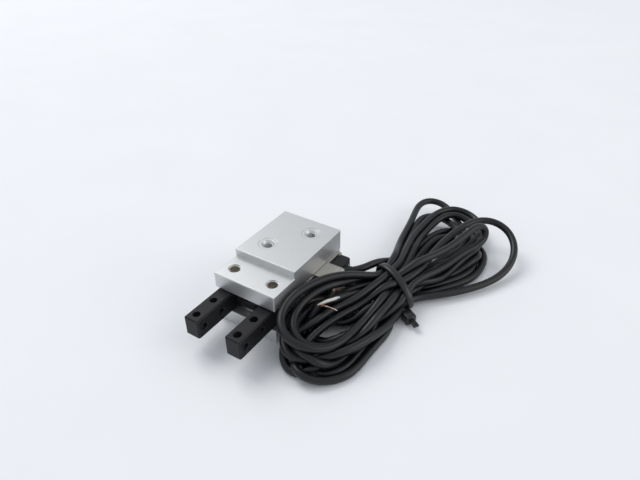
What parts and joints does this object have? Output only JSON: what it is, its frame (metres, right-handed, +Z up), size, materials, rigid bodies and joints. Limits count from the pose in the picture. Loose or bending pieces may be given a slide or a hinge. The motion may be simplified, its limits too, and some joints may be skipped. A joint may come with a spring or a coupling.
{
  "type": "pneumatic gripper",
  "caption": "Two-jaw angular pneumatic gripper lying on its wide face, with proximity switches in a side bracket and their leads tied in a hank.",
  "frame": {"origin": "centre of the housing's wide lower face, on which the gripper lies", "axes": "+Z up through the housing's thickness, -Y towards the jaw tips, +X towards the switches and their leads"},
  "size_m": [0.0961, 0.1557, 0.028],
  "materials": {
    "anodised": "fine bead-blasted clear anodise",
    "bronze": "sintered bronze",
    "pin_steel": "oiled ground ends",
    "seal_rubber": "smooth nitrile",
    "steel": "turned and ground",
    "spring_steel": "phosphated",
    "piston_alloy": "turned",
    "magnet": "bonded ferrite",
    "black_steel": "black oxide over milled steel",
    "bracket_steel": "rolled sheet",
    "switch_plastic": "fine moulded texture",
    "lamp_plastic": "clear red window",
    "cable_jacket": "matt flexible vinyl",
    "tie_nylon": "satin nylon",
    "core_insulation": "thin insulation, one brown core"
  },
  "bodies": {
    "body": {"housing": "anodised", "end_cap": "anodised", "rod_bush": "bronze", "pivot_pin_right": "pin_steel", "pivot_pin_left": "pin_steel", "rod_seal": "seal_rubber", "end_cap_ring": "seal_rubber", "front_bumper": "seal_rubber", "rear_bumper": "seal_rubber", "seal_retainer": "steel", "retaining_ring": "spring_steel", "switch_bracket": "bracket_steel", "bracket_screws": "steel", "clamp_screw": "steel", "clamp_pad": "steel", "switch_lower": "switch_plastic", "switch_upper": "switch_plastic", "switch_screws": "steel", "switch_lamps": "lamp_plastic", "lead_sleeve_lower": "cable_jacket", "lead_sleeve_upper": "cable_jacket", "lead_lower": "cable_jacket", "lead_upper": "cable_jacket", "lead_hank": "cable_jacket", "tie_strap": "tie_nylon", "tie_head": "tie_nylon", "cores_lower": "core_insulation", "cores_upper": "core_insulation"},
    "right_jaw": {"jaw_right": "black_steel", "pivot_bush_right": "bronze"},
    "left_jaw": {"jaw_left": "black_steel", "pivot_bush_left": "bronze"},
    "piston_unit": {"piston_rod": "steel", "drive_pin": "steel", "piston": "piston_alloy", "piston_seal": "seal_rubber", "piston_magnet": "magnet"}
  },
  "joints": [
    {"name": "right_jaw_swing", "type": "hinge", "parent": "body", "child": "right_jaw", "pos_m": [0.0097, -0.0184, 0.0122], "axis": [0, 0, 1], "range_deg": [-5, 15]},
    {"name": "left_jaw_swing", "type": "hinge", "parent": "body", "child": "left_jaw", "pos_m": [-0.0097, -0.0184, 0.0122], "axis": [0, 0, -1], "range_deg": [-5, 15]},
    {"name": "piston_slide", "type": "slide", "parent": "body", "child": "piston_unit", "axis": [0, -1, 0], "range_m": [-0.00085, 0.00254]}
  ],
  "couplings": [
    {"joint": "left_jaw_swing", "follows": "right_jaw_swing", "ratio": 1},
    {"joint": "piston_slide", "follows": "right_jaw_swing", "m_per_rad": 0.0097}
  ]
}
